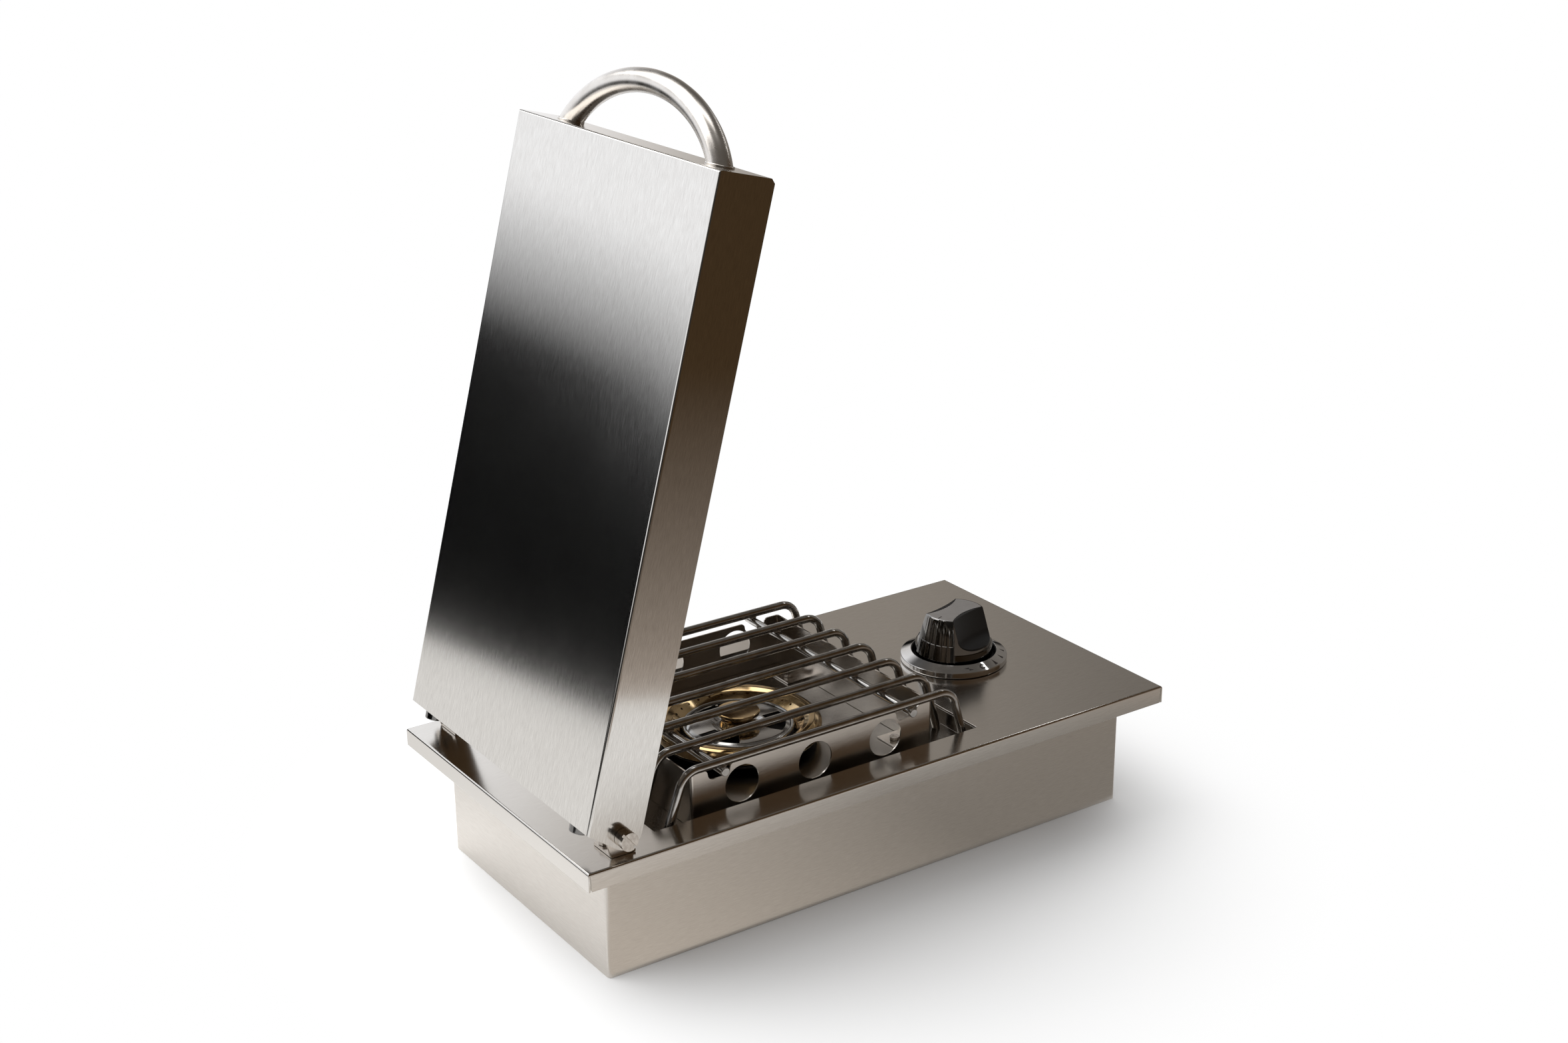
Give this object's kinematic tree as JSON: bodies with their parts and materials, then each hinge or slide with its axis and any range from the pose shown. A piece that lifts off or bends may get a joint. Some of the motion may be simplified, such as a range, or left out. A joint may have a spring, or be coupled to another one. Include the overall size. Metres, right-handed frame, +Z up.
{
  "type": "built in side burner",
  "caption": "Drop-in gas side burner: a flanged plate over a box, a ring burner in a wind guard under a wire grate, a turn knob and a deep hinged lid with a bow handle.",
  "frame": {"origin": "centre of the flat bottom of the burner box", "axes": "+Z up through the plate, +Y towards the lid's hinge, -Y towards the knob, +X to the right as seen from the knob"},
  "size_m": [0.2838, 0.52, 0.6011],
  "materials": {
    "plate_steel": "fine brushed",
    "lid_steel": "fine brushed",
    "box_steel": "mill, lightly brushed",
    "tray_steel": "satin",
    "guard_steel": "fine brushed",
    "grate_steel": "polished wire",
    "disc_steel": "polished",
    "screw_steel": "bright",
    "hinge_steel": "turned",
    "handle_steel": "satin",
    "burner_dark": "dark, heat resistant",
    "brass": "polished",
    "valve_brass": "machined",
    "bezel_chrome": "bright",
    "knob_chrome": "bright",
    "knob_satin": "satin",
    "grip_black": "fine matt",
    "black_plastic": "matt",
    "ceramic": "glazed ceramic"
  },
  "bodies": {
    "base": {"top_plate": "plate_steel", "burner_box": "box_steel", "box_floor": "box_steel", "burner_tray": "tray_steel", "wind_guard": "guard_steel", "wind_guard_screw_1": "screw_steel", "wind_guard_screw_2": "screw_steel", "wind_guard_screw_3": "screw_steel", "wind_guard_screw_4": "screw_steel", "burner_base": "burner_dark", "burner_ring": "brass", "burner_disc": "disc_steel", "burner_rim": "burner_dark", "burner_cap": "brass", "burner_screw_1": "screw_steel", "burner_screw_2": "screw_steel", "mixing_tube": "burner_dark", "air_shutter": "box_steel", "gas_jet": "brass", "gas_valve": "valve_brass", "valve_flange": "box_steel", "valve_screw_1": "screw_steel", "valve_screw_2": "screw_steel", "supply_pipe": "box_steel", "inlet_fitting": "valve_brass", "inlet_locknut": "valve_brass", "igniter_module": "black_plastic", "igniter_ceramic": "ceramic", "igniter_electrode": "screw_steel", "ignition_lead": "black_plastic", "knob_bezel": "bezel_chrome", "bracket_screw_1": "screw_steel", "bracket_screw_2": "screw_steel", "bracket_screw_3": "screw_steel", "bracket_screw_4": "screw_steel", "hinge_bracket_left": "box_steel", "hinge_screw_left": "hinge_steel", "hinge_washer_left": "hinge_steel", "hinge_nut_left": "hinge_steel", "hinge_bracket_right": "box_steel", "hinge_screw_right": "hinge_steel", "hinge_washer_right": "hinge_steel", "hinge_nut_right": "hinge_steel"},
    "grate": {"grate_wire_1": "grate_steel", "grate_wire_2": "grate_steel", "grate_wire_3": "grate_steel", "grate_wire_4": "grate_steel", "grate_wire_5": "grate_steel", "grate_wire_6": "grate_steel", "grate_wire_7": "grate_steel", "grate_rod_1": "grate_steel", "grate_rod_2": "grate_steel"},
    "lid": {"lid_shell": "lid_steel", "lid_handle": "handle_steel"},
    "stem_slider": {"stem_collar": "screw_steel"},
    "knob": {"valve_stem": "screw_steel", "knob_skirt": "knob_chrome", "knob_grip_left": "grip_black", "knob_grip_right": "grip_black", "knob_plate": "knob_satin"}
  },
  "joints": [
    {"name": "lid_hinge", "type": "hinge", "parent": "base", "child": "lid", "pos_m": [0, 0.229, 0.1166], "axis": [1, 0, 0], "range_deg": [-30, 75.2]},
    {"name": "grate_lift", "type": "slide", "parent": "base", "child": "grate", "axis": [0, 0, 1], "range_m": [0, 0.005]},
    {"name": "knob_push", "type": "slide", "parent": "base", "child": "stem_slider", "axis": [0, 0, 1], "range_m": [-0.003, 0], "stiffness_N_per_m": 1500, "springref_m": 0.004},
    {"name": "knob_turn", "type": "hinge", "parent": "stem_slider", "child": "knob", "pos_m": [0, -0.16, 0.1], "axis": [0, 0, 1], "range_deg": [0, 150]}
  ]
}
